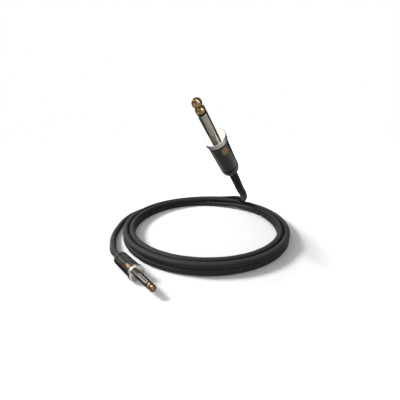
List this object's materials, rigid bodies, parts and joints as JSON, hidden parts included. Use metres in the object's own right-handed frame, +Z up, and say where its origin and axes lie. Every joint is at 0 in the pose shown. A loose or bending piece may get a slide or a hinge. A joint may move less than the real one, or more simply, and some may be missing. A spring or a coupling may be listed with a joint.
{
  "type": "instrument cable",
  "caption": "Coiled shielded instrument cable with a straight mono phone plug at each end, each with a screw-on barrel over its solder joints.",
  "frame": {"origin": "on the ground, under the middle of the two plugs' common bounding box", "axes": "+Z up; +Y from the plugs towards the coil's far side; +X to the right when the coil is seen from the plugs' side"},
  "size_m": [0.2438, 0.2851, 0.1538],
  "materials": {
    "gold_tip": "gold-plated, polished",
    "black_insulator": "smooth",
    "clear_insulator": "smooth",
    "polished_steel": "polished with turned lines",
    "fibre_insulator": "pressed fibre",
    "lug_metal": "tinned sheet",
    "white_insulation": "satin",
    "copper_strands": "stranded",
    "solder": "bright",
    "cable_jacket": "satin",
    "liner_plastic": "satin",
    "dark_barrel": "satin anodised",
    "gold_inlay": "satin gold"
  },
  "bodies": {
    "cable_and_plugs": {"tip_contact_a": "gold_tip", "tip_ring_a": "black_insulator", "tip_tube_a": "clear_insulator", "plug_body_a": "polished_steel", "rear_washer_a": "fibre_insulator", "tip_lug_a": "lug_metal", "ground_lug_a": "lug_metal", "core_insulation_a": "white_insulation", "core_wire_a": "copper_strands", "core_solder_a": "solder", "shield_tail_a": "copper_strands", "shield_solder_a": "solder", "jacket_end_a": "cable_jacket", "tip_contact_b": "gold_tip", "tip_ring_b": "black_insulator", "tip_tube_b": "clear_insulator", "plug_body_b": "polished_steel", "rear_washer_b": "fibre_insulator", "tip_lug_b": "lug_metal", "ground_lug_b": "lug_metal", "core_insulation_b": "white_insulation", "core_wire_b": "copper_strands", "core_solder_b": "solder", "shield_tail_b": "copper_strands", "shield_solder_b": "solder", "jacket_end_b": "cable_jacket", "lead_a": "cable_jacket", "cable_coil": "cable_jacket", "lead_b": "cable_jacket"},
    "liner_a": {"liner_a": "liner_plastic"},
    "barrel_a": {"barrel_a": "dark_barrel", "barrel_inlay_a": "gold_inlay"},
    "liner_b": {"liner_b": "liner_plastic"},
    "barrel_b": {"barrel_b": "dark_barrel", "barrel_inlay_b": "gold_inlay"}
  },
  "joints": [
    {"name": "barrel_slide_a", "type": "slide", "parent": "cable_and_plugs", "child": "liner_a", "axis": [-0.6971, 0.7168, -0.0175], "range_m": [0, 0.006]},
    {"name": "barrel_turn_a", "type": "hinge", "parent": "liner_a", "child": "barrel_a", "pos_m": [-0.04343, 0.01924, 0.00765], "axis": [-0.6971, 0.7168, -0.0175], "range_deg": [0, 2160]},
    {"name": "barrel_slide_b", "type": "slide", "parent": "cable_and_plugs", "child": "liner_b", "axis": [0.3839, 0.6363, -0.6691], "range_m": [0, 0.006]},
    {"name": "barrel_turn_b", "type": "hinge", "parent": "liner_b", "child": "barrel_b", "pos_m": [0.04782, -0.00307, 0.11836], "axis": [0.3839, 0.6363, -0.6691], "range_deg": [0, 2160]}
  ],
  "couplings": [
    {"joint": "barrel_turn_a", "follows": "barrel_slide_a", "rad_per_m": 6283.2},
    {"joint": "barrel_turn_b", "follows": "barrel_slide_b", "rad_per_m": 6283.2}
  ]
}
